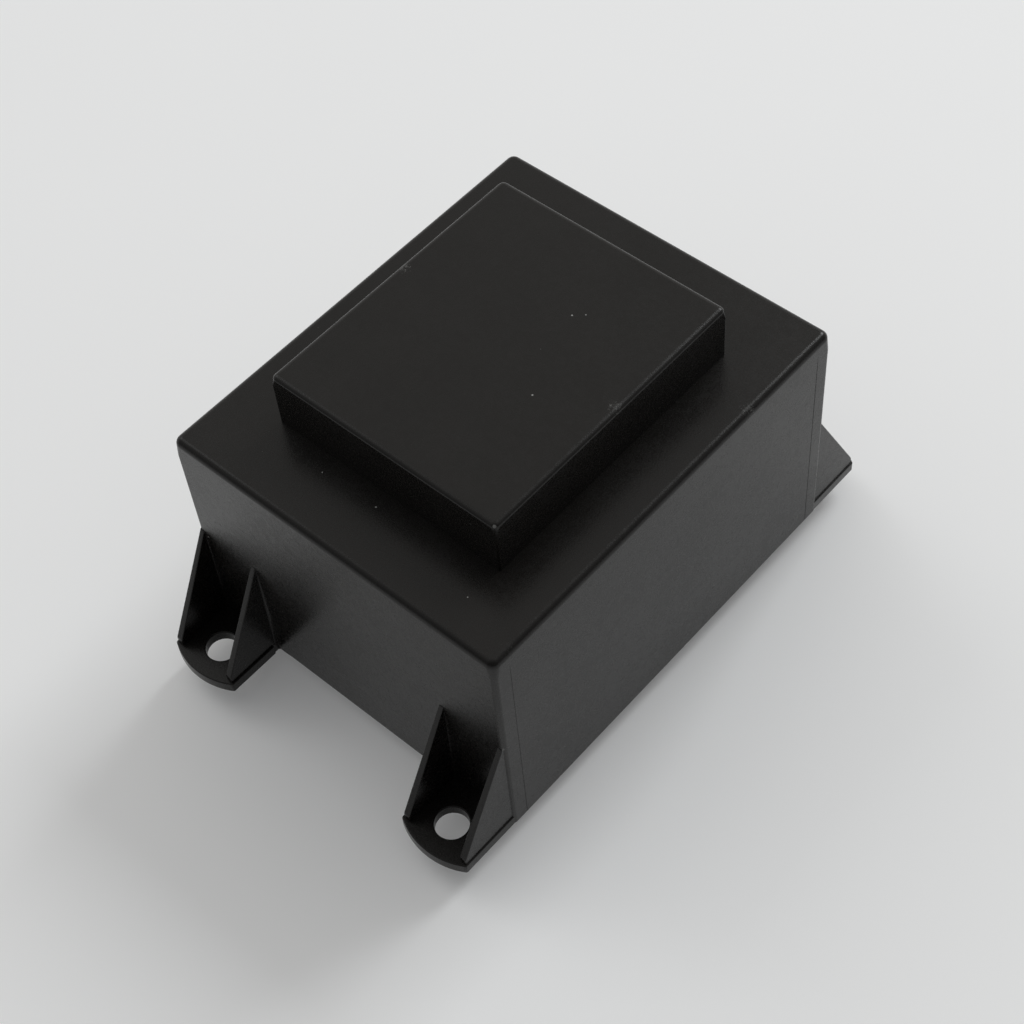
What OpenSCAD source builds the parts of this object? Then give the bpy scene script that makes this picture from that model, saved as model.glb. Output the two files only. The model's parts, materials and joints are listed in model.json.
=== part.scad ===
// Potted mains transformer for a printed circuit board, with an EI core.
// Millimetres. +X runs from lug to lug, +Y from the primary terminals to the
// secondary ones, +Z up. The origin is the centre of the four lug holes, on
// the seating plane, which the case's rim and the lugs share.

/* [Core] */
// Width of a lamination, across its three legs
lam_w = 66; // [60:1:72]
// Thickness of the stack of laminations
stack_t = 23; // [20:0.5:26]
// Number of bundles, whose E sheets point to alternate ends
bundles = 4; // [2:1:8]

/* [Case] */
// Thickness of the case's walls
wall = 1.5; // [1.2:0.1:1.8]
// Radius of the edges round the top of the case
top_r = 1.0; // [0.4:0.1:1.4]
// Radius of the upright corners
corner_r = 0.9; // [0.4:0.1:1.2]
// Depth of the potting resin's surface, below the case's rim
resin_recess = 1.2; // [0.6:0.1:2]

/* [Raised panel] */
// Shift of the panel along X, off the middle of the case
panel_dx = -0.3; // [-0.6:0.1:0.6]
// Shift of the panel along Y, off the middle of the case
panel_dy = -0.3; // [-1:0.1:1]
// Radius of the panel's upright corners
panel_corner_r = 0.3; // [0.2:0.1:1.2]
// Radius of the edges round the top of the panel
panel_top_r = 1.0; // [0.4:0.1:1.3]

/* [Lugs] */
// Width of a lug
lug_w = 12.1; // [11:0.1:14]
// Reach of a lug at its corners, beyond the case's end
lug_reach = 9.5; // [8.5:0.1:12]
// Rise of the arc that ends a lug, beyond its corners
lug_arc = 1.7; // [0.5:0.1:3]
// Thickness of the plate of a lug
lug_t = 1.9; // [1.5:0.1:3]
// Diameter of the screw hole in a lug
hole_d = 5; // [4:0.1:5.5]
// Distance of the screw hole from the case's end
hole_out = 5.8; // [5:0.1:6]
// Height of the gussets where they meet the case's end
gusset_h = 20.4; // [12:0.1:30]
// Height of the gussets at their outer ends
gusset_low_h = 3; // [2.2:0.1:6]
// Thickness of a gusset at its foot
gusset_foot_t = 1.2; // [1:0.1:1.5]
// Thickness of a gusset at its full height
gusset_top_t = 0.8; // [0.6:0.1:1]

/* [Terminals] */
// Number of terminal pins in each of the two rows
pins = 4; // [2:2:4]
// Distance between neighbouring pins of a row
pin_pitch = 10; // [5:0.5:10]
// Distance between the two rows of pins
row_pitch = 45; // [44:0.5:48]
// Diameter of a pin's round tail
pin_d = 1; // [0.8:0.1:1.2]
// Length of a pin's tail below the seating plane
pin_out = 4; // [3:0.5:6]

/* [Hidden] */
$fn = 48;

eps = 0.01;

// Laminations: all their widths are multiples of an outer leg's.
leg = lam_w / 6;
core_l = lam_w;
core_w = 5 * leg;
window_l = 3 * leg;

// Bobbin: the tube round the centre leg, three flanges and two pin rails.
tube_t = 1.3;
tube_r = 0.6;
tube_hx = leg + tube_t;
tube_hz = stack_t / 2 + tube_t;
flange_t = 1.2;
flange_lip = 0.5;
flange_gap = 1.2;
build = leg - tube_t - flange_lip - flange_gap;
flange_hx = tube_hx + build + flange_lip;
flange_hz = tube_hz + build + flange_lip;
flange_r = 1.5;
bobbin_w = window_l - 0.4;
chamber_w = (bobbin_w - 3 * flange_t) / 2;
rail_z = 2;
rail_t = 4;
rail_w = 10;
rib_t = 2;

// Winding layers, from the tube outwards.
tape_t = 0.4;
layer_t = (build - 2 * tape_t) / 2;

// Heights.
coil_z = 4.2 + flange_hz;
core_z = coil_z - stack_t / 2;
shelf_gap = 2.1;
panel_gap = 1.6;
case_h = core_z + stack_t + shelf_gap + wall;
total_h = coil_z + flange_hz + panel_gap + wall;

// Case: the core's outline, a clearance and the wall.
end_gap = 0.5;
side_gap = 0.15;
case_l = core_l + 2 * (end_gap + wall);
case_w = core_w + 2 * (side_gap + wall);
panel_l = 2 * (flange_hx + 0.9 + wall);
panel_w = bobbin_w + 2 * (2.1 + wall);

// Lugs: set in a little from the case's long sides, and the gussets from theirs.
lug_inset = 0.1;
gusset_inset = 0.2;
root_l = corner_r + 0.15;
lug_y = case_w / 2 - lug_inset - lug_w / 2;
lug_end_r = (pow(lug_w / 2, 2) + pow(lug_arc, 2)) / (2 * lug_arc);
hole_x = case_l / 2 + hole_out;

// Terminal pins: square roots in the rails, round tails outside the resin.
pin_root = 1;
pin_top = 10.6;
wire_r = 0.4;
wrap_r = 1.1;
wrap_h = 1.6;
wrap_low = rail_z + rail_t + 0.2;
wrap_high = wrap_low + 2.5;

plastic_black = [0.07, 0.07, 0.075];
resin_black = [0.13, 0.12, 0.12];
steel_grey = [0.42, 0.43, 0.45];
bobbin_white = [0.85, 0.84, 0.78];
copper = [0.72, 0.36, 0.16];
tape_yellow = [0.85, 0.72, 0.20];
tin = [0.78, 0.78, 0.76];

// ---- Outlines ----

// Rectangle about the origin with all four corners rounded.
module rounded_rect(w, h, r) {
    square([w - 2 * r, h], center = true);
    square([w, h - 2 * r], center = true);
    for (sx = [-1, 1], sy = [-1, 1])
        translate([sx * (w / 2 - r), sy * (h / 2 - r)]) circle(r);
}

// Upright rectangle that stands on the X axis, with its top corners rounded.
module rounded_top(w, h, r) {
    translate([-w / 2, 0]) square([w, h - r]);
    translate([-w / 2 + r, 0]) square([w - 2 * r, h]);
    for (side = [-1, 1]) translate([side * (w / 2 - r), h - r]) circle(r);
}

// ---- Directions ----

// Extrude an XZ outline along Y, from y0 to y1.
module along_y(y0, y1) {
    translate([0, y1, 0]) rotate([90, 0, 0]) linear_extrude(y1 - y0) children();
}

// Extrude a YZ outline along X, from x0 to x1.
module along_x(x0, x1) {
    translate([x0, 0, 0]) rotate([90, 0, 90]) linear_extrude(x1 - x0) children();
}

module in_four_corners() {
    for (mx = [0, 1], my = [0, 1]) mirror([mx, 0, 0]) mirror([0, my, 0]) children();
}

// ---- Case ----

// Block with rounded upright corners and rounded edges round its top.
module rounded_block(l, w, h, upright_r, edge_r) {
    intersection() {
        linear_extrude(h) rounded_rect(l, w, upright_r);
        along_y(-w, w) rounded_top(l, h, edge_r);
        along_x(-l, l) rounded_top(w, h, edge_r);
    }
}

module case_body() {
    rounded_block(case_l, case_w, case_h, corner_r, top_r);
    translate([panel_dx, panel_dy, 0])
        rounded_block(panel_l, panel_w, total_h, panel_corner_r, panel_top_r);
}

// The room inside, from the height z up: under the shelf and in the panel.
module case_cavity(z) {
    in_l = case_l - 2 * wall;
    in_w = case_w - 2 * wall;
    translate([-in_l / 2, -in_w / 2, z]) cube([in_l, in_w, case_h - wall - z]);
    top_l = panel_l - 2 * wall;
    top_w = panel_w - 2 * wall;
    translate([panel_dx - top_l / 2, panel_dy - top_w / 2, case_h - wall - 1])
        cube([top_l, top_w, total_h - case_h + 1]);
}

// Plan of the lug in the +X +Y corner, rooted in the case's wall.
module lug_plan() {
    reach = lug_reach + lug_arc;
    intersection() {
        translate([case_l / 2 - root_l, lug_y - lug_w / 2]) square([root_l + reach, lug_w]);
        translate([case_l / 2 + reach - lug_end_r, lug_y]) circle(lug_end_r, $fn = 96);
    }
}

// Outline of a gusset, seen from the side: a slope with a short upright end.
module gusset_side() {
    low_x = lug_reach - gusset_inset;
    translate([case_l / 2, 0]) polygon([
        [-root_l, 0], [low_x, 0], [low_x, gusset_low_h], [0, gusset_h], [-root_l, gusset_h]
    ]);
}

// Section of a gusset in YZ: upright at zero, and thinner upwards on the -Y side.
module gusset_section() {
    polygon([[0, 0], [-gusset_foot_t, 0], [-gusset_top_t, gusset_h], [0, gusset_h]]);
}

// Gusset with its upright face at y, and its leaning face towards the case's middle.
module gusset(y) {
    intersection() {
        along_y(0, case_w) gusset_side();
        along_x(0, case_l) translate([y, 0]) gusset_section();
    }
}

module lug() {
    half = lug_w / 2 - gusset_inset;
    linear_extrude(lug_t) lug_plan();
    gusset(lug_y - half + gusset_foot_t);
    gusset(lug_y + half);
}

module case() {
    color(plastic_black) difference() {
        union() {
            case_body();
            in_four_corners() lug();
        }
        case_cavity(-1);
        in_four_corners() translate([hole_x, lug_y, -1]) cylinder(h = lug_t + 2, d = hole_d);
    }
}

// ---- Core ----

// An E sheet's outline, its yoke at the -Y end.
module e_outline() {
    translate([-core_l / 2, -core_w / 2]) square([core_l, leg]);
    for (x = [-core_l / 2, core_l / 2 - leg])
        translate([x, -core_w / 2]) square([leg, core_w - leg]);
    translate([-leg, -core_w / 2]) square([2 * leg, core_w - leg]);
}

// An I sheet's outline, at the +Y end.
module i_outline() {
    translate([-core_l / 2, core_w / 2 - leg]) square([core_l, leg]);
}

// Bundles of the outline, each turned end for end against the one below.
module in_bundles() {
    t = stack_t / bundles;
    for (k = [0 : bundles - 1])
        translate([0, 0, core_z + k * t]) mirror([0, k % 2, 0]) linear_extrude(t) children();
}

module e_laminations() { color(steel_grey) in_bundles() e_outline(); }
module i_laminations() { color(steel_grey) in_bundles() i_outline(); }

// The whole core, as the resin meets it.
module core_block() {
    translate([0, 0, core_z]) linear_extrude(stack_t) difference() {
        square([core_l, core_w], center = true);
        for (side = [-1, 1])
            translate([side * 1.5 * leg, 0]) square([leg, window_l], center = true);
    }
}

// ---- Bobbin and windings ----

// Closed loop round the centre leg, between two heights of winding build.
module loop(y0, y1, from, to) {
    translate([0, 0, coil_z]) along_y(y0, y1) difference() {
        rounded_rect(2 * (tube_hx + to), 2 * (tube_hz + to), tube_r + to);
        rounded_rect(2 * (tube_hx + from), 2 * (tube_hz + from), tube_r + from);
    }
}

// A loop that fills one chamber from side to side; end is -1 or 1.
module chamber_loop(end, from, to) {
    middle = end * (flange_t + chamber_w) / 2;
    loop(middle - chamber_w / 2, middle + chamber_w / 2, from, to);
}

module flange(y) {
    translate([0, 0, coil_z]) along_y(y - flange_t / 2, y + flange_t / 2)
        rounded_rect(2 * flange_hx, 2 * flange_hz, flange_r);
}

// Rail that holds the pins of the +Y row, with ribs up to the core's yoke.
module pin_rail() {
    y0 = bobbin_w / 2 - flange_t;
    translate([-flange_hx, y0, rail_z]) cube([2 * flange_hx, rail_w + flange_t, rail_t]);
    for (k = [-pins / 2 : pins / 2])
        translate([k * min(pin_pitch, (2 * flange_hx - rib_t) / pins) - rib_t / 2, y0, rail_z])
            cube([rib_t, rail_w + flange_t, core_z - rail_z]);
}

module bobbin() {
    color(bobbin_white) difference() {
        union() {
            translate([0, 0, coil_z]) along_y(-bobbin_w / 2, bobbin_w / 2)
                rounded_rect(2 * tube_hx, 2 * tube_hz, tube_r);
            for (y = [-1, 0, 1]) flange(y * (bobbin_w - flange_t) / 2);
            pin_rail();
            mirror([0, 1, 0]) pin_rail();
        }
        translate([0, 0, coil_z]) cube([2 * leg, bobbin_w + 2, stack_t], center = true);
        for (end = [-1, 1], k = [0 : pins - 1]) {
            pin_blank(end, k);
            lead_wire(end, k);
        }
    }
}

module coil_layer(end, layer) {
    from = layer * (layer_t + tape_t);
    color(copper) chamber_loop(end, from, from + layer_t);
}

module coil_tape(end, layer) {
    from = layer_t + layer * (layer_t + tape_t);
    color(tape_yellow) chamber_loop(end, from, from + tape_t);
}

module primary_winding_inner() { coil_layer(-1, 0); }
module primary_interlayer_tape() { coil_tape(-1, 0); }
module primary_winding_outer() { coil_layer(-1, 1); }
module primary_wrap_tape() { coil_tape(-1, 1); }
module secondary_winding_inner() { coil_layer(1, 0); }
module secondary_interlayer_tape() { coil_tape(1, 0); }
module secondary_winding_outer() { coil_layer(1, 1); }
module secondary_wrap_tape() { coil_tape(1, 1); }

// ---- Terminals ----

function pin_x(k) = (k - (pins - 1) / 2) * pin_pitch;
// The outer pins of a row end the inner layer, and the inner pins the outer one.
function wrap_z(k) = (k == 0 || k == pins - 1) ? wrap_high : wrap_low;

module pin_blank(end, k) {
    translate([pin_x(k) - pin_root / 2, end * row_pitch / 2 - pin_root / 2, resin_recess])
        cube([pin_root, pin_root, pin_top - resin_recess]);
}

// Terminal pin: square root, round tail and a coned tip.
module pin(end, k) {
    tip = 0.3;
    if (k < pins) color(tin) {
        pin_blank(end, k);
        translate([pin_x(k), end * row_pitch / 2, 0]) {
            translate([0, 0, -pin_out + tip])
                cylinder(h = pin_out - tip + resin_recess + eps, d = pin_d);
            translate([0, 0, -pin_out])
                cylinder(h = tip, d1 = pin_d - 2 * tip, d2 = pin_d);
        }
    }
}

// Wire from the wrap on a pin's root to the side of its winding.
module lead_wire(end, k) {
    coil_side = bobbin_w / 2 - flange_t;
    translate([pin_x(k), 0, wrap_z(k) + wrap_h / 2]) mirror([0, (1 - end) / 2, 0])
        translate([0, row_pitch / 2, 0]) rotate([90, 0, 0])
            cylinder(h = row_pitch / 2 - coil_side, r = wire_r);
}

module leads(end) {
    color(copper) for (k = [0 : pins - 1]) difference() {
        union() {
            lead_wire(end, k);
            translate([pin_x(k), end * row_pitch / 2, wrap_z(k)]) cylinder(h = wrap_h, r = wrap_r);
        }
        pin_blank(end, k);
    }
}

module primary_leads() { leads(-1); }
module secondary_leads() { leads(1); }
module primary_pin_1() { pin(-1, 0); }
module primary_pin_2() { pin(-1, 1); }
module primary_pin_3() { pin(-1, 2); }
module primary_pin_4() { pin(-1, 3); }
module secondary_pin_1() { pin(1, 0); }
module secondary_pin_2() { pin(1, 1); }
module secondary_pin_3() { pin(1, 2); }
module secondary_pin_4() { pin(1, 3); }

// ---- Potting ----

// Resin fills what is left of the case, up to its recessed surface.
module potting_resin() {
    color(resin_black) difference() {
        case_cavity(resin_recess);
        core_block();
        bobbin();
        for (end = [-1, 1]) {
            chamber_loop(end, 0, build);
            leads(end);
            for (k = [0 : pins - 1]) pin_blank(end, k);
        }
    }
}

case();
potting_resin();
e_laminations();
i_laminations();
bobbin();
primary_winding_inner();
primary_interlayer_tape();
primary_winding_outer();
primary_wrap_tape();
secondary_winding_inner();
secondary_interlayer_tape();
secondary_winding_outer();
secondary_wrap_tape();
primary_leads();
secondary_leads();
primary_pin_1();
primary_pin_2();
primary_pin_3();
primary_pin_4();
secondary_pin_1();
secondary_pin_2();
secondary_pin_3();
secondary_pin_4();
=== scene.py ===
"""Potted transformer for a printed circuit board: its moulded case, the surface
of its resin, and the finishes of its core, bobbin, windings and pins."""

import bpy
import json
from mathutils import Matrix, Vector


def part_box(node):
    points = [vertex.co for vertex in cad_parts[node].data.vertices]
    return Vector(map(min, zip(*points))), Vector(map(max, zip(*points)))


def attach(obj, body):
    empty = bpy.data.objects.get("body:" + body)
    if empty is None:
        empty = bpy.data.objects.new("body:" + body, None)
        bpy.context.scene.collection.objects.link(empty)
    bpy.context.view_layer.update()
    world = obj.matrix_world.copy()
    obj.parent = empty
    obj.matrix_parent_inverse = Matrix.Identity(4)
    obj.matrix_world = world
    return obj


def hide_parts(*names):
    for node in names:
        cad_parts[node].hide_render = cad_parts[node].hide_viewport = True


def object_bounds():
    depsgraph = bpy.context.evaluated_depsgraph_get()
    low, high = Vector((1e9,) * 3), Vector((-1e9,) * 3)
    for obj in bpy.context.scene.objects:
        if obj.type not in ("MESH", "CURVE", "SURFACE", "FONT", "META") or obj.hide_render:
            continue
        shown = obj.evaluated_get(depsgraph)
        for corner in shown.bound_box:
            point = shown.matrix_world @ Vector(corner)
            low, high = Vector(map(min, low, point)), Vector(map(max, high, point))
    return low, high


bl_info = {
    "name": "Potted Transformer",
    "version": (1, 0, 0),
    "blender": (4, 5, 0),
    "location": "3D View > Sidebar > Transformer",
    "description": "Builds the moulded case and the finishes of a potted transformer",
    "category": "Object",
}

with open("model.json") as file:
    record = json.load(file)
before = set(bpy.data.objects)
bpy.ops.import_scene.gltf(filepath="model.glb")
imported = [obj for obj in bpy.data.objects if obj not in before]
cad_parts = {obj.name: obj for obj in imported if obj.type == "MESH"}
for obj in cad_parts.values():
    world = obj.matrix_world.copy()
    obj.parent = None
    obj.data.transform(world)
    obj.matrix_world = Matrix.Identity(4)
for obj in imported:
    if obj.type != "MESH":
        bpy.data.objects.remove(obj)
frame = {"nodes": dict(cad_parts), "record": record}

import json
import math

import bmesh
import bpy
from bpy.props import FloatProperty, FloatVectorProperty, PointerProperty
from mathutils import Vector

CAD_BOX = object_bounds()
MM = 0.001
BODY = "root"
PINS = [f"{row}_pin_{k}" for row in ("primary", "secondary") for k in (1, 2, 3, 4)]


# ---- Sizes read off the frame ----

# Points nearer than TOUCH share a plane, and points further than CLEAR don't.
TOUCH = 0.01 * MM
CLEAR = 0.5 * MM


def corner_of(points):
    """Lowest and highest corner of a list of points."""
    low = Vector(min(p[axis] for p in points) for axis in range(3))
    high = Vector(max(p[axis] for p in points) for axis in range(3))
    return low, high


def read_case():
    """Levels and outlines of the case, from the points of its CAD node."""
    points = [v.co for v in frame["nodes"]["case"].data.vertices]
    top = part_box("case")[1].z
    walls = corner_of([p for p in points if p.z > top / 2])[1]
    shelf = max(p.z for p in points if abs(p.x) > 0.9 * walls.x)
    lugs = [p for p in points if p.x > walls.x + CLEAR and p.y > 0]
    plate_z = min(p.z for p in lugs if p.z > CLEAR)
    plate = corner_of([p for p in lugs if p.z < plate_z + TOUCH])
    gusset = corner_of([p for p in lugs if p.z > plate_z + CLEAR])
    corner_x = max(p.x for p in lugs if p.y > plate[1].y - TOUCH)
    root_top = max(p.z for p in points
                   if abs(p.x - walls.x) < TOUCH and p.z < 0.9 * shelf)
    return {
        "walls": walls, "shelf": shelf, "top": top,
        "panel": corner_of([p for p in points if p.z > shelf + CLEAR]),
        "plate": plate, "plate_z": plate_z, "corner_x": corner_x,
        "gusset": gusset, "root_top": root_top,
    }


def read_mount(name):
    """Dimensions of one of the record's mounts."""
    return next(m for m in frame["record"]["mounts"] if m["name"] == name)["dims"]


CASE = read_case()
HOLES = read_mount("lug_holes")


# ---- Sizes and colours that a user may change ----

def length(name, description, default):
    return FloatProperty(name=name, description=description, default=default,
                         min=0, unit="LENGTH", precision=5)


def colour(name, description, default):
    return FloatVectorProperty(name=name, description=description, default=default,
                               size=3, min=0, max=1, subtype="COLOR")


def share(name, description, default):
    return FloatProperty(name=name, description=description, default=default,
                         min=0, max=1, subtype="FACTOR")


class MouldingSizes(bpy.types.PropertyGroup):
    """Sizes of the moulded case's smaller forms"""
    wall: length("Wall", "Thickness of the case's walls", 1.5 * MM)
    top_radius: length("Top edge", "Radius of the edges round the case's top", 1.1 * MM)
    corner_radius: length("Corner", "Radius of the upright corners", 0.8 * MM)
    top_corner: length("Top corner", "Radius of those corners at the shelf", 1.3 * MM)
    panel_radius: length("Panel edge", "Width of the edges round the panel's top", 0.9 * MM)
    panel_drop: length("Panel edge drop", "Height of those edges", 0.6 * MM)
    panel_corner: length("Panel corner", "Radius of the panel's upright corners", 0.3 * MM)
    panel_top_corner: length("Panel top corner", "Radius of those corners at its top", 0.9 * MM)
    edge_radius: length("Small edge", "Radius of the lugs' and gussets' edges", 0.18 * MM)
    gusset_foot: length("Gusset foot", "Thickness of a gusset at the plate", 1.2 * MM)
    gusset_head: length("Gusset head", "Thickness of a gusset at its top", 0.8 * MM)
    gusset_toe: length("Gusset toe", "Radius of a gusset's outer corner", 0.9 * MM)
    outer_fillet: length("Outer fillet", "Fillet on a gusset's side away from the screw",
                         0.6 * MM)
    inner_fillet: length("Inner fillet", "Fillets in the pocket round the screw", 0.5 * MM)
    band_height: length("Band", "Height of the shallow band at the foot of each end", 7.3 * MM)
    band_depth: length("Band depth", "How far that band lies back", 0.12 * MM)
    seam_place: length("Seam", "Distance of the mould's seam from the middle", 32.1 * MM)
    seam_width: length("Seam width", "Width of the mould's seam", 0.14 * MM)


class Colours(bpy.types.PropertyGroup):
    """Base colours of the finishes"""
    case: colour("Case", "Black moulded plastic", (0.0068, 0.0060, 0.0053))
    # Also the colour of the painted highlight on the panel's near top corner.
    bloom_and_highlight: colour("Scuff", "Plastic where it is scuffed pale", (0.30, 0.30, 0.29))
    resin: colour("Resin", "Cast potting resin", (0.020, 0.018, 0.017))
    steel: colour("Steel", "Cut edges of the laminations", (0.30, 0.31, 0.33))
    nylon: colour("Bobbin", "Natural glass-filled nylon", (0.80, 0.78, 0.70))
    copper: colour("Wire", "Enamelled copper wire", (0.60, 0.22, 0.08))
    tape: colour("Tape", "Yellow polyester film tape", (0.80, 0.62, 0.12))
    tin: colour("Tin", "Tinned terminal wire", (0.72, 0.72, 0.70))
    floor: colour("Floor", "Plain floor of the stage", (0.93, 0.93, 0.93))


class StageSettings(bpy.types.PropertyGroup):
    """Camera and lamps"""
    camera_place: FloatVectorProperty(
        name="Camera place", description="Where the camera stands", subtype="TRANSLATION",
        default=(-0.12507, -0.12981, 0.25266), unit="LENGTH", precision=5)
    camera_turn: FloatVectorProperty(
        name="Camera turn", description="The camera's rotation", subtype="EULER",
        default=tuple(math.radians(a) for a in (36.6335, 3.7019, -48.6646)))
    lens: FloatProperty(name="Lens", description="Focal length on a 36 mm sensor",
                        default=71.865, min=20, max=200, unit="CAMERA")
    lamp_power: FloatProperty(name="Lamps", description="Power of the lamps together",
                              default=11.0, min=0, unit="POWER")
    lamp_size: length("Lamp size", "Side of each square lamp", 0.6)
    lamp_reach: length("Lamp distance", "Distance of the lamps from the transformer", 1.5)
    sky_front: share("Sky in front", "Strength of the sky on the camera's side", 0.16)
    sky_back: share("Sky behind", "Strength of the sky behind the transformer", 0.72)
    floor_glow: share("Floor", "Share of the floor that stays white in its shadow", 0.1)


# ---- Meshes ----

SMALLEST_RADIUS = 0.02 * MM     # of an outline's corner that the inset has used up
SMALLEST_CORNER = 0.25 * MM     # of a block's upright corner at the end of its rounding
EDGE_STEPS = 3
TOP_STEPS = 8
CORNER_STEPS = 6
CIRCLE_STEPS = 48


def quarter(steps):
    """Angles from 0 to a right angle."""
    return [math.pi / 2 * k / steps for k in range(steps + 1)]


def rounded_outline(corners, inset, every_radius=None):
    """Points of a convex outline, moved in by inset.

    A corner is (x, y, radius, steps), and every_radius overrules the corners' own."""
    points = []
    for i, (x, y, radius, steps) in enumerate(corners):
        here = Vector((x, y))
        into = (here - Vector(corners[i - 1][:2])).normalized()
        away = (Vector(corners[(i + 1) % len(corners)][:2]) - here).normalized()
        inward = Vector((-into.y, into.x)) + Vector((-away.y, away.x))
        corner = here + inward * (inset / (1 + into.dot(away)))
        turn = math.atan2(into.x * away.y - into.y * away.x, into.dot(away))
        arc = every_radius or max(radius - inset, SMALLEST_RADIUS)
        if not steps:
            points.append(corner)
            continue
        start = corner - into * arc * math.tan(turn / 2)
        spoke = Vector((into.y, -into.x)) * arc
        for k in range(steps + 1):
            a = turn * k / steps
            turned = Vector((spoke.x * math.cos(a) - spoke.y * math.sin(a),
                             spoke.x * math.sin(a) + spoke.y * math.cos(a)))
            points.append(start - spoke + turned)
    return points


def soft_foot(low, radius):
    """Levels, each an inset and a height, that round the foot of a solid."""
    return [(radius * (1 - math.sin(a)), low + radius * (1 - math.cos(a)))
            for a in quarter(EDGE_STEPS)]


def soft_ends(low, high, radius):
    """Levels that round both ends of a solid."""
    return soft_foot(low, radius) + [
        (radius * (1 - math.cos(a)), high - radius * (1 - math.sin(a)))
        for a in quarter(EDGE_STEPS)]


def soft_top(top, soft, radius):
    """Levels, with their corners' radii, that round a block's top and its top corners.

    The rounding is soft.x wide and soft.y high, and the corners grow up to the radius."""
    levels = [(0, top - 3 * soft.y)]
    for a in quarter(TOP_STEPS):
        inset = soft.x * (1 - math.cos(a))
        levels.append((inset, top - soft.y * (1 - math.sin(a)),
                       max(radius - inset, SMALLEST_CORNER)))
    return levels


def upright(u, v, w):
    return Vector((u, v, w))


def circle(x, y, radius, z, steps):
    """Ring of points round an upright axis."""
    return [Vector((x + radius * math.cos(math.tau * k / steps),
                    y + radius * math.sin(math.tau * k / steps), z)) for k in range(steps)]


def add_rings(mesh, rings, joined=False):
    """Faces between successive rings of points.

    Both ends are capped, or the last ring is joined to the first."""
    made = [[mesh.verts.new(p) for p in ring] for ring in rings]
    pairs = list(zip(made, made[1:]))
    if joined:
        pairs.append((made[-1], made[0]))
    count = len(rings[0])
    for a, b in pairs:
        for i in range(count):
            j = (i + 1) % count
            mesh.faces.new((a[i], a[j], b[j], b[i]))
    if not joined:
        mesh.faces.new(made[0])
        mesh.faces.new(made[-1])


def add_solid(mesh, corners, levels, place=upright):
    """Solid with rounded edges: one outline, moved in and raised by each level."""
    add_rings(mesh, [[place(p.x, p.y, height)
                      for p in rounded_outline(corners, inset, *radius)]
                     for inset, height, *radius in levels])


def add_hole_cutter(mesh, x, y, radius, low, high, rim):
    """Cutter for a round hole with rounded rims."""
    profile = [(rim, low - MM), *soft_ends(low, high, rim), (rim, high + MM)]
    add_rings(mesh, [circle(x, y, radius + out, z, CIRCLE_STEPS) for out, z in profile])


def box_corners(low, high, radius=0.0, steps=0):
    """Corners of an upright rectangle."""
    return [(low[0], low[1], radius, steps), (high[0], low[1], radius, steps),
            (high[0], high[1], radius, steps), (low[0], high[1], radius, steps)]


def solid_object(name, build, *arguments):
    """Object whose mesh the function builds, with its faces turned outwards."""
    mesh = bmesh.new()
    build(mesh, *arguments)
    bmesh.ops.recalc_face_normals(mesh, faces=mesh.faces)
    data = bpy.data.meshes.new(name)
    mesh.to_mesh(data)
    mesh.free()
    thing = bpy.data.objects.new(name, data)
    bpy.context.scene.collection.objects.link(thing)
    return thing


def apply_modifiers(thing):
    """Leaves the evaluated mesh as the object's own."""
    view = bpy.context.evaluated_depsgraph_get()
    data = bpy.data.meshes.new_from_object(thing.evaluated_get(view))
    thing.modifiers.clear()
    old, thing.data = thing.data, data
    bpy.data.meshes.remove(old)


def combine(thing, operation, others):
    """Unites the object with the others, or cuts them from it, and removes them."""
    group = bpy.data.collections.new(operation.lower())
    bpy.context.scene.collection.children.link(group)
    for other in others:
        bpy.context.scene.collection.objects.unlink(other)
        group.objects.link(other)
    step = thing.modifiers.new(operation, "BOOLEAN")
    step.operation = operation
    step.solver = "EXACT"
    step.operand_type = "COLLECTION"
    step.collection = group
    apply_modifiers(thing)
    for other in others:
        bpy.data.objects.remove(other)
    bpy.data.collections.remove(group)


def mirrored(thing, x, y):
    """Copy of the object, mirrored in X, in Y or in both."""
    copy = bpy.data.objects.new(thing.name, thing.data.copy())
    bpy.context.scene.collection.objects.link(copy)
    mesh = bmesh.new()
    mesh.from_mesh(copy.data)
    for vertex in mesh.verts:
        vertex.co.x *= x
        vertex.co.y *= y
    if x * y < 0:
        bmesh.ops.reverse_faces(mesh, faces=mesh.faces)
    mesh.to_mesh(copy.data)
    mesh.free()
    return copy


def smooth(thing, angle=32):
    """Smooth shading, with edges sharper than the angle left hard."""
    thing.data.shade_smooth()
    thing.data.set_sharp_from_angle(angle=math.radians(angle))
    thing.modifiers.new("Even normals", "WEIGHTED_NORMAL").keep_sharp = True
    apply_modifiers(thing)


# ---- The moulded case ----

# How deep one solid stands in the next, so that they unite.
PLATE_ROOT = 0.8 * MM
GUSSET_ROOT = 0.7 * MM
GUSSET_SUNK = 0.6 * MM
FILLET_SUNK = 0.25 * MM
PANEL_SUNK = 1 * MM

# Lugs: radius of the plate's corners, and a gusset's upright toe and upper tip.
PLATE_CORNER = 0.35 * MM
ARC_STEPS = 24
TOE_HEIGHT = 3 * MM
TIP_RADIUS = 0.3 * MM

# Fillets beside a gusset: heights of the two ends, and how the radius runs out.
FILLET_START = 0.5 * MM
FILLET_STOP = 0.4 * MM          # below the gusset's top
FILLET_STEPS = 8
FILLET_FACETS = 6
RUN_OUT = 0.94
RUN_OUT_POWER = 1.6

# Band at the foot of an end: gap to the fillets, and length of its slopes.
BAND_GAP = 0.4 * MM
BAND_RUN = 1.5 * MM
BAND_SLOPE = 1.2 * MM
OPEN_AIR = 20 * MM              # height of its cutter above the slope

# Seam of the mould: depth, and length over which it fades below the top edge.
SEAM_DEPTH = 0.06 * MM
SEAM_FADED = 0.01 * MM          # depth where the seam ends
SEAM_FADE = 3 * MM
SEAM_STOP = 2.2                 # in radii of the top edge

MERGE_GAP = 0.002 * MM          # points nearer than this become one


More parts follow.
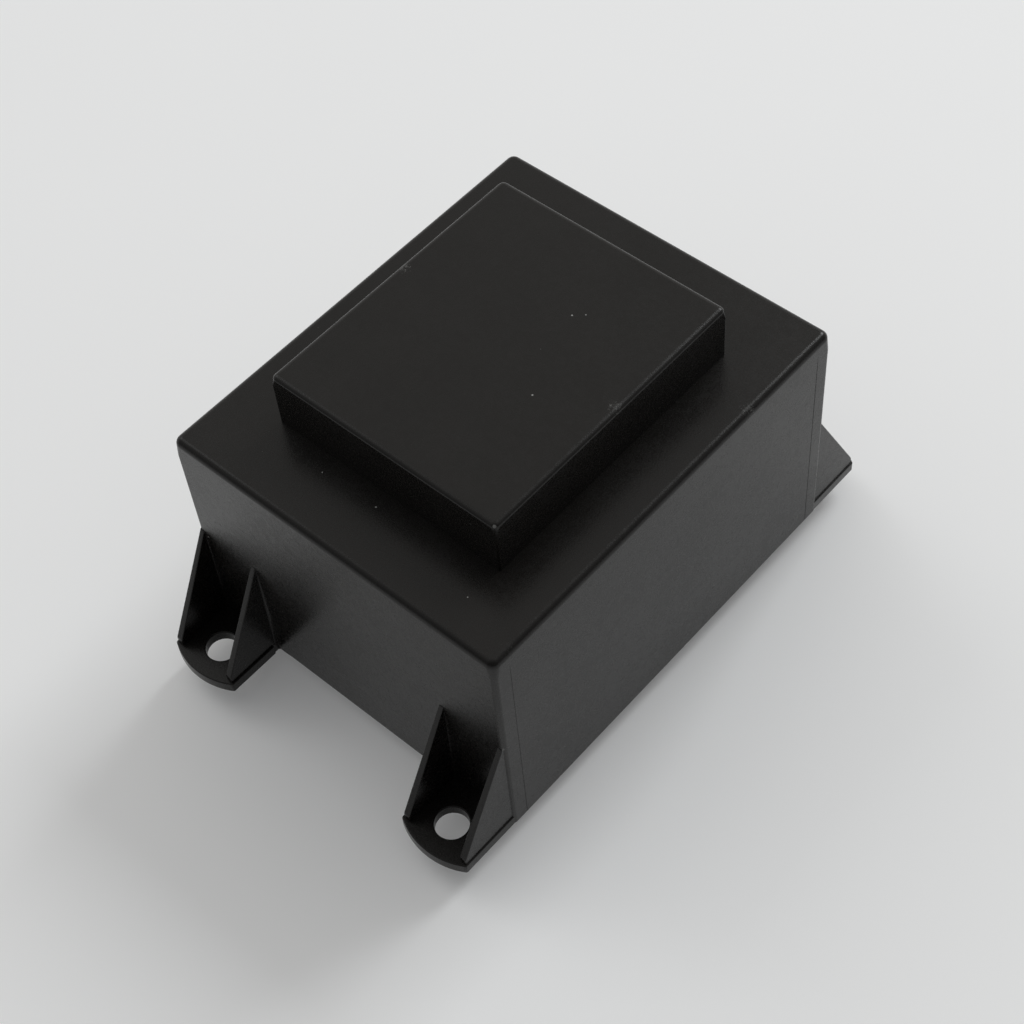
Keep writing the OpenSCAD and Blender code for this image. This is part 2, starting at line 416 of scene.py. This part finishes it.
def add_body(mesh, sizes):
    """Block of the case up to the shelf."""
    walls = CASE["walls"]
    corners = box_corners(-walls, walls, sizes.corner_radius, CORNER_STEPS)
    levels = soft_foot(0, sizes.edge_radius)
    levels += soft_top(CASE["shelf"], Vector((sizes.top_radius, sizes.top_radius)),
                       sizes.top_corner)
    add_solid(mesh, corners, levels)


def add_panel(mesh, sizes):
    """Block of the raised panel, from inside the case up."""
    low, high = CASE["panel"]
    corners = box_corners(low, high, sizes.panel_corner, CORNER_STEPS)
    levels = [(0, CASE["shelf"] - PANEL_SUNK)]
    levels += soft_top(CASE["top"], Vector((sizes.panel_radius, sizes.panel_drop)),
                       sizes.panel_top_corner)
    add_solid(mesh, corners, levels)


def add_plate(mesh, sizes):
    """Plate of the lug in the +X +Y corner, ended by an arc."""
    low, high = CASE["plate"]
    root = CASE["walls"].x - PLATE_ROOT
    rise = high.x - CASE["corner_x"]
    half = (high.y - low.y) / 2
    middle = (high.y + low.y) / 2
    radius = (half ** 2 + rise ** 2) / (2 * rise)
    sweep = math.asin(half / radius)
    corners = [(root, high.y, 0, 0), (root, low.y, 0, 0),
               (CASE["corner_x"], low.y, PLATE_CORNER, 4)]
    for k in range(1, ARC_STEPS):
        a = sweep * (2 * k / ARC_STEPS - 1)
        corners.append((high.x - radius + radius * math.cos(a),
                        middle + radius * math.sin(a), 0, 0))
    corners.append((CASE["corner_x"], high.y, PLATE_CORNER, 4))
    add_solid(mesh, corners, soft_ends(0, CASE["plate_z"], sizes.edge_radius))


def add_gusset(mesh, sizes, y):
    """Gusset whose upright face is at y, and whose other face leans towards it."""
    root = CASE["walls"].x - GUSSET_ROOT
    toe = CASE["gusset"][1].x
    head = CASE["root_top"]
    corners = [(root, GUSSET_SUNK, 0, 0), (toe, GUSSET_SUNK, 0, 0),
               (toe, TOE_HEIGHT, sizes.gusset_toe, 5),
               (CASE["walls"].x, head, TIP_RADIUS, 3), (root, head, 0, 0)]
    lean = 1 - sizes.gusset_head / sizes.gusset_foot

    def place(u, v, w):
        return Vector((u, y - w * (1 - lean * v / head), v))

    add_solid(mesh, corners, soft_ends(0, sizes.gusset_foot, sizes.edge_radius), place)


def add_fillet(mesh, sizes, y, side, radius):
    """Hollow-curved fillet between a gusset's face and the case's end."""
    wall = CASE["walls"].x
    head = CASE["root_top"] - FILLET_STOP
    lean = (sizes.gusset_foot - sizes.gusset_head) / CASE["root_top"]
    rings = []
    for k in range(FILLET_STEPS + 1):
        z = FILLET_START + (head - FILLET_START) * k / FILLET_STEPS
        r = radius * (1 - RUN_OUT * (k / FILLET_STEPS) ** RUN_OUT_POWER)
        face = y + (lean * z if side < 0 else 0)
        back = face - side * FILLET_SUNK
        ring = [(wall - FILLET_SUNK, back), (wall - FILLET_SUNK, face + side * r)]
        for a in quarter(FILLET_FACETS):
            ring.append((wall + r * (1 - math.cos(a)), face + side * r * (1 - math.sin(a))))
        ring.append((wall + r, back))
        rings.append([Vector((u, v, z)) for u, v in ring])
    add_rings(mesh, rings)


def build_lug(sizes):
    """The lug in the +X +Y corner: its plate with two gussets."""
    low, high = CASE["gusset"]
    lug = solid_object("lug", add_plate, sizes)
    combine(lug, "UNION", [solid_object("gusset", add_gusset, sizes, y)
                           for y in (low.y + sizes.gusset_foot, high.y)])
    return lug


def add_band(mesh, sizes, end):
    """Cutter for the shallow band at the foot of one end of the case."""
    wall = CASE["walls"].x
    reach = CASE["gusset"][0].y - sizes.outer_fillet - BAND_GAP
    depth, top = sizes.band_depth, sizes.band_height
    rings = []
    for y, cut in ((-reach - MM, -depth), (-reach, 0), (-reach + BAND_RUN, depth),
                   (reach - BAND_RUN, depth), (reach, 0), (reach + MM, -depth)):
        back = wall - cut
        rings.append([Vector((end * u, y, v)) for u, v in (
            (back, -MM), (wall + MM, -MM), (wall + MM, top + OPEN_AIR),
            (wall + depth, top + BAND_SLOPE), (back, top))])
    add_rings(mesh, rings)


def add_seam(mesh, sizes, x, end):
    """Cutter for the fine groove that a seam of the mould leaves up one side."""
    wall = CASE["walls"].y
    half = sizes.seam_width / 2
    high = CASE["shelf"] - SEAM_STOP * sizes.top_radius
    rings = []
    for z, depth in ((-MM, SEAM_DEPTH), (high - SEAM_FADE, SEAM_DEPTH), (high, SEAM_FADED)):
        rings.append([Vector((x + u, end * (wall + v), z)) for u, v in (
            (-3 * half, 2 * SEAM_DEPTH), (0, -depth), (3 * half, 2 * SEAM_DEPTH))])
    add_rings(mesh, rings)


def add_room(mesh, sizes):
    """Cutter for the room under the shelf."""
    half = CASE["walls"] - Vector((1, 1, 0)) * sizes.wall
    add_solid(mesh, box_corners(-half, half), [(0, -MM), (0, CASE["shelf"] - sizes.wall)])


def add_panel_room(mesh, sizes):
    """Cutter for the room inside the panel."""
    low, high = CASE["panel"]
    wall = Vector((1, 1, 0)) * sizes.wall
    add_solid(mesh, box_corners(low + wall, high - wall),
              [(0, CASE["shelf"] - sizes.wall - MM), (0, CASE["top"] - sizes.wall)])


def build_case(sizes):
    """The whole case as one closed mesh."""
    case = solid_object("case_shell", add_body, sizes)
    lug = build_lug(sizes)
    lugs = [lug] + [mirrored(lug, x, y) for x, y in ((-1, 1), (1, -1), (-1, -1))]
    outer = [solid_object("panel", add_panel, sizes)]
    low, high = CASE["gusset"]
    foot = sizes.gusset_foot
    for y, side, radius in ((low.y, -1, sizes.outer_fillet),
                            (low.y + foot, 1, sizes.inner_fillet),
                            (high.y - foot, -1, sizes.inner_fillet)):
        fillet = solid_object("fillet", add_fillet, sizes, y, side, radius)
        outer += [mirrored(fillet, a, b) for a in (-1, 1) for b in (-1, 1)]
        bpy.data.objects.remove(fillet)
    combine(case, "UNION", lugs + outer)
    cuts = [solid_object("room", add_room, sizes),
            solid_object("panel_room", add_panel_room, sizes)]
    radius = HOLES["hole_r_mm"] * MM
    for x in (-1, 1):
        cuts.append(solid_object("band", add_band, sizes, x))
        for y in (-1, 1):
            cuts.append(solid_object(
                "hole", add_hole_cutter, x * HOLES["spacing_x_mm"] * MM / 2,
                y * HOLES["spacing_y_mm"] * MM / 2, radius, 0, CASE["plate_z"],
                sizes.edge_radius))
            cuts.append(solid_object("seam", add_seam, sizes, x * sizes.seam_place, y))
    combine(case, "DIFFERENCE", cuts)
    tidy = bmesh.new()
    tidy.from_mesh(case.data)
    bmesh.ops.remove_doubles(tidy, verts=tidy.verts, dist=MERGE_GAP)
    bmesh.ops.dissolve_degenerate(tidy, edges=tidy.edges, dist=MERGE_GAP)
    if not all(edge.is_manifold for edge in tidy.edges):
        raise RuntimeError("The case's mesh is not closed")
    tidy.to_mesh(case.data)
    tidy.free()
    smooth(case)
    return case


# ---- Shader nodes ----

class Wire:
    """A node's output. Arithmetic on it adds Math nodes."""

    def __init__(self, finish, socket):
        self.finish, self.socket = finish, socket

    def maths(self, operation, *values, clamp=False):
        return self.finish.node("ShaderNodeMath",
                                {"operation": operation, "use_clamp": clamp},
                                dict(enumerate(values)))

    def __add__(self, other): return self.maths("ADD", self, other)
    def __radd__(self, other): return self.maths("ADD", other, self)
    def __sub__(self, other): return self.maths("SUBTRACT", self, other)
    def __mul__(self, other): return self.maths("MULTIPLY", self, other)
    def __truediv__(self, other): return self.maths("DIVIDE", self, other)

    def over(self, level): return self.maths("GREATER_THAN", self, level)
    def at_least(self, other): return self.maths("MAXIMUM", self, other)
    def size(self): return self.maths("ABSOLUTE", self)
    def limit(self): return self.maths("ADD", self, 0, clamp=True)
    def fraction(self): return self.maths("FRACT", self)
    def whole(self): return self.maths("FLOOR", self)
    def sine(self): return self.maths("SINE", self)

    def ramp(self, low, high, to_low=0.0, to_high=1.0):
        """Smooth step from to_low at low to to_high at high."""
        return self.finish.node(
            "ShaderNodeMapRange", {"interpolation_type": "SMOOTHSTEP"},
            {"Value": self, "From Min": low, "From Max": high,
             "To Min": to_low, "To Max": to_high})


class Finish:
    """A material, or the world, under construction."""

    def __init__(self, name, owner=None):
        self.owner = owner or bpy.data.materials.new(name)
        self.owner.use_nodes = True
        self.tree = self.owner.node_tree
        self.tree.nodes.clear()

    def node(self, kind, settings=None, sockets=None, output=0):
        """Adds a node: its settings first, then its sockets' values or links."""
        node = self.tree.nodes.new(kind)
        for name, value in (settings or {}).items():
            setattr(node, name, value)
        for name, value in (sockets or {}).items():
            socket = self.find(node.inputs, name)
            if isinstance(value, Wire):
                self.tree.links.new(value.socket, socket)
            else:
                socket.default_value = value
        return Wire(self, self.find(node.outputs, output))

    @staticmethod
    def find(sockets, name):
        if isinstance(name, int):
            return sockets[name]
        return next((s for s in sockets if s.identifier == name), None) or sockets[name]

    def place(self):
        """Coordinates in the row frame, in metres."""
        return self.node("ShaderNodeTexCoord", output="Object")

    def parts(self, vector):
        """The three numbers of a vector."""
        split = self.node("ShaderNodeSeparateXYZ", None, {"Vector": vector}).socket.node
        return [Wire(self, s) for s in split.outputs]

    def vector(self, operation, a, b, output=0):
        return self.node("ShaderNodeVectorMath", {"operation": operation}, {0: a, 1: b}, output)

    def noise(self, where, cell, detail=2.0, roughness=0.5):
        """Noise whose features are about cell metres across."""
        return self.node("ShaderNodeTexNoise", None,
                         {"Vector": where, "Scale": 1 / cell, "Detail": detail,
                          "Roughness": roughness})

    def chance(self, number):
        """Random value from 0 to 1 for each whole number."""
        return self.node("ShaderNodeTexWhiteNoise", {"noise_dimensions": "1D"},
                         {"W": number.whole()}, "Value")

    def specks(self, where, cell, radius, share):
        """Round specks, of at most that radius, in a share of the cells."""
        cells = self.node("ShaderNodeTexVoronoi", {"feature": "F1"},
                          {"Vector": where, "Scale": 1 / cell}, "Distance")
        other = Wire(self, cells.socket.node.outputs["Color"])
        chance, size, _ = self.parts(other)
        spot = (cells * cell).ramp(radius, 0.55 * radius)
        return spot * chance.over(1 - share) * size

    def mix(self, factor, a, b):
        """Mixture of two colours."""
        def full(c):
            return c if isinstance(c, Wire) else (*c, 1.0)
        return self.node("ShaderNodeMix", {"data_type": "RGBA"},
                         {"Factor_Float": factor, "A_Color": full(a), "B_Color": full(b)},
                         "Result_Color")

    def bump(self, height, distance, strength=1.0, normal=None):
        sockets = {"Height": height, "Distance": distance, "Strength": strength}
        if normal:
            sockets["Normal"] = normal
        return self.node("ShaderNodeBump", None, sockets)

    def surface(self, **sockets):
        """Ends the material in a Principled shader, and returns the material."""
        values = {}
        for name, value in sockets.items():
            key = name.replace("_", " ").title().replace("Ior", "IOR")
            values[key] = (*value, 1.0) if isinstance(value, tuple) else value
        self.end(self.node("ShaderNodeBsdfPrincipled", None, values))
        return self.owner

    def end(self, shader, kind="ShaderNodeOutputMaterial"):
        """Feeds the shader to the output."""
        output = self.tree.nodes.new(kind)
        self.tree.links.new(shader.socket, output.inputs["Surface"])


# ---- Finishes ----

SHEET = 0.5 * MM                # thickness of a lamination
LAP = 6.3 * MM                  # distance between the tape's laps
TURNS = (("primary", 0.25 * MM), ("secondary", 0.8 * MM))

# Scuffs on the case, and one painted highlight on the panel's near top corner: centre and
# radius in millimetres, and how dense they are.
SCUFFS_AND_HIGHLIGHT = (
    ((1.7, 18.9, 49.7), 3.4, 0.42),
    ((0.6, -19.4, 49.7), 3.4, 0.42),
    # Painted highlight, not a scuff: the bright spot where the panel's near top corner catches
    # the light.
    ((-23.2, -19.8, 49.6), 0.5, 0.8),
    ((17.0, -28.6, 40.4), 3.2, 0.42),
    ((-31.5, -28.3, 40.5), 3.6, 0.34),
    ((-34.9, -29.0, 20.4), 0.6, 0.7),
    ((-44.0, -28.6, 2.0), 1.4, 0.42),
    ((-10.5, 19.0, 49.7), 2.2, 0.32),
)

# Grains of dust that catch the light: centre and radius in millimetres.
GRAINS = (
    ((9.2, -4.9, 49.9), 0.16), ((10.4, -6.3, 49.9), 0.12), ((-4.5, -9.8, 49.9), 0.17),
    ((-26.0, -0.7, 40.6), 0.15), ((-26.3, 8.9, 40.6), 0.12), ((-29.0, -19.6, 40.6), 0.12),
    ((-35.0, 27.4, 19.4), 0.16), ((-42.3, -22.0, 1.9), 0.13),
)


def shaded(colour, factor):
    """The colour, made lighter or darker."""
    return tuple(factor * c for c in colour)


def spots(finish, where, marks, core):
    """Mask of round marks: centre, radius, and a strength which may be left out.

    The mark is at full strength inside its core, which is a share of its radius."""
    total = None
    for centre, radius, *strength in marks:
        gap = finish.vector("DISTANCE", where, tuple(c * MM for c in centre), "Value")
        spot = gap.ramp(radius * MM, radius * MM * core, 0, strength[0] if strength else 1)
        total = spot if total is None else total.at_least(spot)
    return total


def case_finish(colours):
    """Black spark-eroded plastic, with dust, a few pale scuffs and a painted highlight on the
    panel's near top corner.
    """
    f = Finish("case_plastic")
    where = f.place()
    grain = f.noise(where, 0.35 * MM, 3, 0.6)
    pits = f.noise(where, 0.12 * MM, 1, 0.5)
    cloud = f.noise(where, 9 * MM, 4, 0.6)
    mottle = f.noise(where, 1.1 * MM, 2, 0.5)
    scratch = f.noise(f.vector("MULTIPLY", where, (1.6, 3, 1.6)), 0.4 * MM, 5, 0.75)
    # Real scuffs, and one painted highlight: the pale spot on the panel's near top corner.
    worn_and_highlight = spots(f, where, SCUFFS_AND_HIGHLIGHT, 0.1)
    scuff_and_highlight = (worn_and_highlight + scratch - 0.93).ramp(0.0, 0.14) * 0.45
    dust = f.specks(where, 2.6 * MM, 0.07 * MM, 0.3) * 0.5
    lit = spots(f, where, GRAINS, 0.5)
    pale = scuff_and_highlight.at_least(dust).at_least(lit).limit()
    tone = f.mix(cloud.ramp(0.3, 0.7) * 0.35, colours.case[:], shaded(colours.case, 1.35))
    rough = (0.27 + (cloud - 0.5) * 0.12 + (mottle - 0.5) * 0.14 + (grain - 0.5) * 0.2
             + pale * 0.3).limit()
    return f.surface(base_color=f.mix(pale, tone, colours.bloom_and_highlight[:]), roughness=rough,
                     ior=1.5, specular_ior_level=0.25,
                     normal=f.bump(grain * 0.6 + pits * 0.4, 0.02 * MM, 0.8))


def resin_finish(colours):
    """Dark cast resin: pooled, slightly glossy, with a few fine bubbles."""
    f = Finish("potting_resin")
    where = f.place()
    swell = f.noise(where, 14 * MM, 2, 0.5)
    filler = f.noise(where, 0.25 * MM, 2, 0.6)
    bubbles = f.specks(where, 3.1 * MM, 0.28 * MM, 0.35)
    tone = f.mix(filler.ramp(0.35, 0.75) * 0.5, colours.resin[:], shaded(colours.resin, 1.9))
    rough = (0.3 + (swell - 0.5) * 0.2 + filler * 0.12).limit()
    wavy = f.bump(swell, 0.35 * MM, 0.6)
    return f.surface(base_color=tone, roughness=rough, ior=1.55,
                     normal=f.bump(filler * 0.15 - bubbles, 0.1 * MM, 0.7, wavy))


def steel_finish(colours):
    """Stacked silicon steel sheets, blued, with a line between each two."""
    f = Finish("lamination_steel")
    where = f.place()
    sheet = f.parts(where)[2] / SHEET
    seam = (sheet.fraction() - 0.5).size().ramp(0.38, 0.5)
    number = f.chance(sheet)
    stain = f.noise(where, 4 * MM, 4, 0.6)
    blued = f.mix(stain.ramp(0.35, 0.7), colours.steel[:], (0.16, 0.18, 0.23))
    rust = f.mix(f.noise(where, 1.3 * MM, 5, 0.7).ramp(0.6, 0.75) * 0.5, blued,
                 (0.20, 0.09, 0.04))
    tone = f.mix((seam * 0.8 + number * 0.15).limit(), rust, (0.03, 0.03, 0.032))
    rough = (0.38 + number * 0.12 + stain * 0.12).limit()
    return f.surface(base_color=tone, roughness=rough, metallic=0.9,
                     normal=f.bump(number * 0.3 - seam, 0.04 * MM, 0.7))


def nylon_finish(colours):
    """Natural glass-filled nylon, with faint flow lines."""
    f = Finish("bobbin_nylon")
    where = f.place()
    fibres = f.noise(f.vector("MULTIPLY", where, (1, 4, 1)), 0.4 * MM, 3, 0.6)
    flow = f.noise(where, 6 * MM, 3, 0.5)
    tone = f.mix(flow.ramp(0.35, 0.65) * 0.5, colours.nylon[:], shaded(colours.nylon, 0.86))
    rough = (0.45 + (fibres - 0.5) * 0.15).limit()
    return f.surface(base_color=tone, roughness=rough, ior=1.53,
                     normal=f.bump(fibres, 0.02 * MM, 0.5))


def wire_finish(name, colours, turn):
    """Enamelled wire whose turns lie side by side along Y, with painted shade in the crevices
    between turns.
    """
    f = Finish(name)
    where = f.place()
    wander = (f.noise(where, 5 * MM, 2, 0.5) - 0.5) * 0.5 * turn
    phase = (f.parts(where)[1] + wander) * (math.pi / turn)
    round_wire = phase.sine().size()
    number = f.chance(phase / math.pi)
    # Painted shade: the colour is darkened in the crevices between neighbouring turns.
    gap = round_wire.ramp(0.3, 0.0)
    varied = f.mix(number * 0.35, colours.copper[:], shaded(colours.copper, 0.7))
    tone = f.mix(gap * 0.8, varied, (0.06, 0.02, 0.01))
    return f.surface(base_color=tone, roughness=0.24 + number * 0.1, metallic=0.85,
                     coat_weight=0.5, coat_roughness=0.12,
                     normal=f.bump(round_wire, 0.35 * turn, 0.8))


def tape_finish(colours):
    """Yellow film tape in overlapping laps, with trapped air and creases."""
    f = Finish("insulating_tape")
    where = f.place()
    wander = (f.noise(where, 8 * MM, 2) - 0.5) * 0.6 * MM
    lap = (f.parts(where)[1] + wander) / LAP
    edge = lap.fraction().ramp(0.04, 0.0)
    crease = f.noise(f.vector("MULTIPLY", where, (0.4, 2.5, 0.4)), 2.2 * MM, 4, 0.6)
    air = f.noise(where, 1.8 * MM, 3, 0.5).ramp(0.52, 0.68)
    paler = tuple(min(1, 1.2 * c + 0.04) for c in colours.tape)
    tone = f.mix(edge * 0.5, f.mix(air * 0.3, colours.tape[:], paler),
                 shaded(colours.tape, 0.55))
    rough = (0.22 + air * 0.18 + crease * 0.08).limit()
    return f.surface(base_color=tone, roughness=rough, ior=1.6,
                     normal=f.bump(crease * 0.6 - edge + air * 0.2, 0.06 * MM, 0.6))


def tin_finish(colours):
    """Tinned wire: bright, frosted in patches and drawn lengthwise."""
    f = Finish("tinned_terminal")
    where = f.place()
    drawn = f.noise(f.vector("MULTIPLY", where, (1, 1, 0.08)), 0.12 * MM, 3, 0.6)
    frost = f.noise(where, 0.7 * MM, 4, 0.6)
    tone = f.mix(frost.ramp(0.35, 0.7) * 0.5, colours.tin[:], shaded(colours.tin, 0.7))
    rough = (0.24 + frost * 0.22 + (drawn - 0.5) * 0.1).limit()
    return f.surface(base_color=tone, roughness=rough, metallic=1.0,
                     normal=f.bump(drawn * 0.5 + frost, 0.012 * MM, 0.5))


def dress(nodes, material):
    """Gives a CAD node, or several, the finish."""
    for name in nodes:
        slots = frame["nodes"][name].material_slots
        for slot in slots:
            slot.material = material
        if not slots:
            frame["nodes"][name].data.materials.append(material)


# ---- Resin surface ----

# Rise and reach of the resin at what it wets, its depth in the resin, and its steps.
WALL_MENISCUS = (0.55 * MM, 1.1 * MM, 0.2 * MM, 7)
PIN_MENISCUS = (0.3 * MM, 0.5 * MM, 0.1 * MM, 5)
MENISCUS_SUNK = 0.05 * MM       # depth in the wall or the pin
WALL_CORNER = 0.3 * MM
PIN_STEPS = 32


def meniscus(start, rise, reach, depth, steps):
    """Section of the resin's hollow rise: distances from the start, and heights."""
    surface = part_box("potting_resin")[0].z
    inner = start - MENISCUS_SUNK
    return ([(inner, surface + depth), (inner, surface - rise)]
            + [(start + reach * (1 - math.cos(a)), surface - rise * (1 - math.sin(a)))
               for a in quarter(steps)]
            + [(start + reach, surface + depth)])


def add_wall_meniscus(mesh, sizes):
    """Hollow rise of the resin up the inside of the case's walls."""
    half = CASE["walls"] - Vector((1, 1, 0)) * sizes.wall
    corners = box_corners(-half, half, WALL_CORNER, 5)
    add_rings(mesh, [[Vector((p.x, p.y, z)) for p in rounded_outline(corners, inset)]
                     for inset, z in meniscus(0, *WALL_MENISCUS)], joined=True)


def add_pin_menisci(mesh):
    """Small rise of the resin round each pin."""
    for name in PINS:
        low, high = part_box(name)
        middle = (low + high) / 2
        add_rings(mesh, [circle(middle.x, middle.y, radius, z, PIN_STEPS) for radius, z
                         in meniscus((high.x - low.x) / 2, *PIN_MENISCUS)], joined=True)


# ---- Operators ----

class TRANSFORMER_OT_case(bpy.types.Operator):
    """Build the moulded case in place of its CAD node"""
    bl_idname = "transformer.case"
    bl_label = "Moulded case"

    def execute(self, context):
        settings = context.scene.transformer
        case = build_case(settings.moulding)
        case.data.materials.clear()
        case.data.materials.append(case_finish(settings.colours))
        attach(case, BODY)
        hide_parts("case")
        return {"FINISHED"}


class TRANSFORMER_OT_resin(bpy.types.Operator):
    """Finish the potting resin, and raise it at the walls and the pins"""
    bl_idname = "transformer.resin"
    bl_label = "Potting resin"

    def execute(self, context):
        settings = context.scene.transformer
        material = resin_finish(settings.colours)
        dress(["potting_resin"], material)
        for name, build, arguments in (
                ("resin_wall_meniscus", add_wall_meniscus, (settings.moulding,)),
                ("resin_pin_menisci", add_pin_menisci, ())):
            piece = solid_object(name, build, *arguments)
            smooth(piece, angle=50)
            piece.data.materials.append(material)
            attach(piece, BODY)
        return {"FINISHED"}


class TRANSFORMER_OT_core(bpy.types.Operator):
    """Finish the laminations of the core"""
    bl_idname = "transformer.core"
    bl_label = "Laminated core"

    def execute(self, context):
        dress(["e_laminations", "i_laminations"],
              steel_finish(context.scene.transformer.colours))
        return {"FINISHED"}


class TRANSFORMER_OT_bobbin(bpy.types.Operator):
    """Finish the bobbin"""
    bl_idname = "transformer.bobbin"
    bl_label = "Bobbin"

    def execute(self, context):
        dress(["bobbin"], nylon_finish(context.scene.transformer.colours))
        return {"FINISHED"}


class TRANSFORMER_OT_windings(bpy.types.Operator):
    """Finish the windings, their leads and the tapes round them"""
    bl_idname = "transformer.windings"
    bl_label = "Windings and tapes"

    def execute(self, context):
        colours = context.scene.transformer.colours
        layers = ("winding_inner", "winding_outer")
        for coil, turn in TURNS:
            dress([f"{coil}_{layer}" for layer in layers] + [f"{coil}_leads"],
                  wire_finish(f"{coil}_wire", colours, turn))
        tapes = ("interlayer_tape", "wrap_tape")
        dress([f"{coil}_{tape}" for coil in ("primary", "secondary") for tape in tapes],
              tape_finish(colours))
        return {"FINISHED"}


class TRANSFORMER_OT_pins(bpy.types.Operator):
    """Finish the terminal pins"""
    bl_idname = "transformer.pins"
    bl_label = "Terminal pins"

    def execute(self, context):
        dress(PINS, tin_finish(context.scene.transformer.colours))
        return {"FINISHED"}


class TRANSFORMER_OT_stage(bpy.types.Operator):
    """Lay the floor, hang the lamps, light the sky and place the camera"""
    bl_idname = "transformer.stage"
    bl_label = "Stage"

    def execute(self, context):
        settings = context.scene.transformer
        lay_floor(settings)
        hang_lamps(settings.stage)
        light_sky(settings.stage)
        place_camera(settings.stage)
        context.scene.view_settings.view_transform = "Standard"
        return {"FINISHED"}


# ---- Stage ----

# Side from which most of the light comes.
LIGHT_SIDE = (0.66, 0.69, 0.3)

# Lamps: name, azimuth from +X, elevation and share of the power.
LAMPS = (("right", -3, 42, 0.85), ("left", 91, 45, 0.15))
LAMP_TINT = (0.96, 0.985, 1.0)

# Tints of the sky in front and behind, and the heights of its bright horizon.
SKY_FRONT_TINT = (0.94, 0.97, 1.0)
SKY_BACK_TINT = (1.0, 0.985, 0.955)
HORIZON = (0.14, 0.02)

FLOOR_RADIUS = 4.0
CLOUD = 0.08                    # size of the floor's faint clouds, in metres


def lay_floor(settings):
    """A wide plain floor under the pins, white to the eye and with a shadow."""
    bpy.ops.mesh.primitive_circle_add(vertices=96, radius=FLOOR_RADIUS, fill_type="NGON",
                                      location=(0, 0, CAD_BOX[0][2]))
    floor = bpy.context.active_object
    floor.name = "floor"
    f = Finish("floor")
    path = f.node("ShaderNodeLightPath").socket.node.outputs
    seen = Wire(f, path["Is Camera Ray"])
    for name in ("Is Glossy Ray", "Is Transmission Ray"):
        seen = seen.at_least(Wire(f, path[name]))
    cloud = f.noise(f.place(), CLOUD, 2)
    plain = settings.colours.floor
    tone = f.mix(cloud, shaded(plain, 0.98), plain[:])
    matt = f.node("ShaderNodeBsdfDiffuse", None, {"Color": tone})
    glow = f.node("ShaderNodeEmission", None, {"Color": (1, 1, 1, 1), "Strength": 1.0})
    f.end(f.node("ShaderNodeMixShader", None,
                 {0: seen * settings.stage.floor_glow, 1: matt, 2: glow}))
    floor.data.materials.append(f.owner)


def hang_lamps(stage):
    """The soft lamps, each turned towards the transformer."""
    for name, azimuth, elevation, part in LAMPS:
        lamp = bpy.data.lights.new(name, "AREA")
        lamp.shape, lamp.size = "SQUARE", stage.lamp_size
        lamp.energy = stage.lamp_power * part
        lamp.color = LAMP_TINT
        holder = bpy.data.objects.new(name, lamp)
        a, e = math.radians(azimuth), math.radians(elevation)
        way = Vector((math.cos(a) * math.cos(e), math.sin(a) * math.cos(e), math.sin(e)))
        holder.location = way * stage.lamp_reach
        holder.rotation_euler = (-way).to_track_quat("-Z", "Y").to_euler()
        bpy.context.scene.collection.objects.link(holder)


def light_sky(stage):
    """A soft sky, brighter behind the transformer and along the horizon."""
    world = bpy.data.worlds.new("studio")
    bpy.context.scene.world = world
    f = Finish("studio", world)
    way = f.node("ShaderNodeTexCoord", output="Generated")
    back = f.vector("DOT_PRODUCT", way, LIGHT_SIDE, "Value")
    sky = back.ramp(-0.5, 0.8, stage.sky_front, stage.sky_back)
    horizon = f.parts(way)[2].ramp(*HORIZON, 0, stage.sky_back)
    tint = f.mix(back.ramp(-0.5, 0.8), SKY_FRONT_TINT, SKY_BACK_TINT)
    light = f.node("ShaderNodeBackground", None,
                   {"Color": tint, "Strength": sky.at_least(horizon)})
    f.end(light, "ShaderNodeOutputWorld")


def place_camera(stage):
    """The camera, with the 36 mm sensor that its focal length is stated for."""
    camera = bpy.data.cameras.new("camera")
    camera.lens, camera.sensor_width = stage.lens, 36
    camera.clip_start, camera.clip_end = 0.01, 50.0
    holder = bpy.data.objects.new("camera", camera)
    holder.location, holder.rotation_euler = stage.camera_place, stage.camera_turn
    bpy.context.scene.collection.objects.link(holder)
    bpy.context.scene.camera = holder


# ---- Panel and registration ----

STEPS = (TRANSFORMER_OT_stage, TRANSFORMER_OT_case, TRANSFORMER_OT_resin, TRANSFORMER_OT_core,
         TRANSFORMER_OT_bobbin, TRANSFORMER_OT_windings, TRANSFORMER_OT_pins)


class TransformerSettings(bpy.types.PropertyGroup):
    """All settings of the transformer"""
    moulding: PointerProperty(type=MouldingSizes, name="Moulding",
                              description="Sizes of the case's smaller forms")
    colours: PointerProperty(type=Colours, name="Colours",
                             description="Base colours of the finishes")
    stage: PointerProperty(type=StageSettings, name="Stage",
                           description="Camera and lamps")


class TRANSFORMER_PT_steps(bpy.types.Panel):
    """The steps that build the transformer"""
    bl_label = "Transformer"
    bl_idname = "TRANSFORMER_PT_steps"
    bl_space_type = "VIEW_3D"
    bl_region_type = "UI"
    bl_category = "Transformer"

    def draw(self, context):
        for step in STEPS:
            self.layout.operator(step.bl_idname)


CLASSES = (MouldingSizes, Colours, StageSettings, TransformerSettings, *STEPS,
           TRANSFORMER_PT_steps)


def register():
    for item in CLASSES:
        bpy.utils.register_class(item)
    bpy.types.Scene.transformer = PointerProperty(type=TransformerSettings)


def unregister():
    del bpy.types.Scene.transformer
    for item in reversed(CLASSES):
        bpy.utils.unregister_class(item)


def main():
    """Runs every step."""
    register()
    for step in STEPS:
        area, name = step.bl_idname.split(".")
        getattr(getattr(bpy.ops, area), name)()


if __name__ == "__main__":
    main()
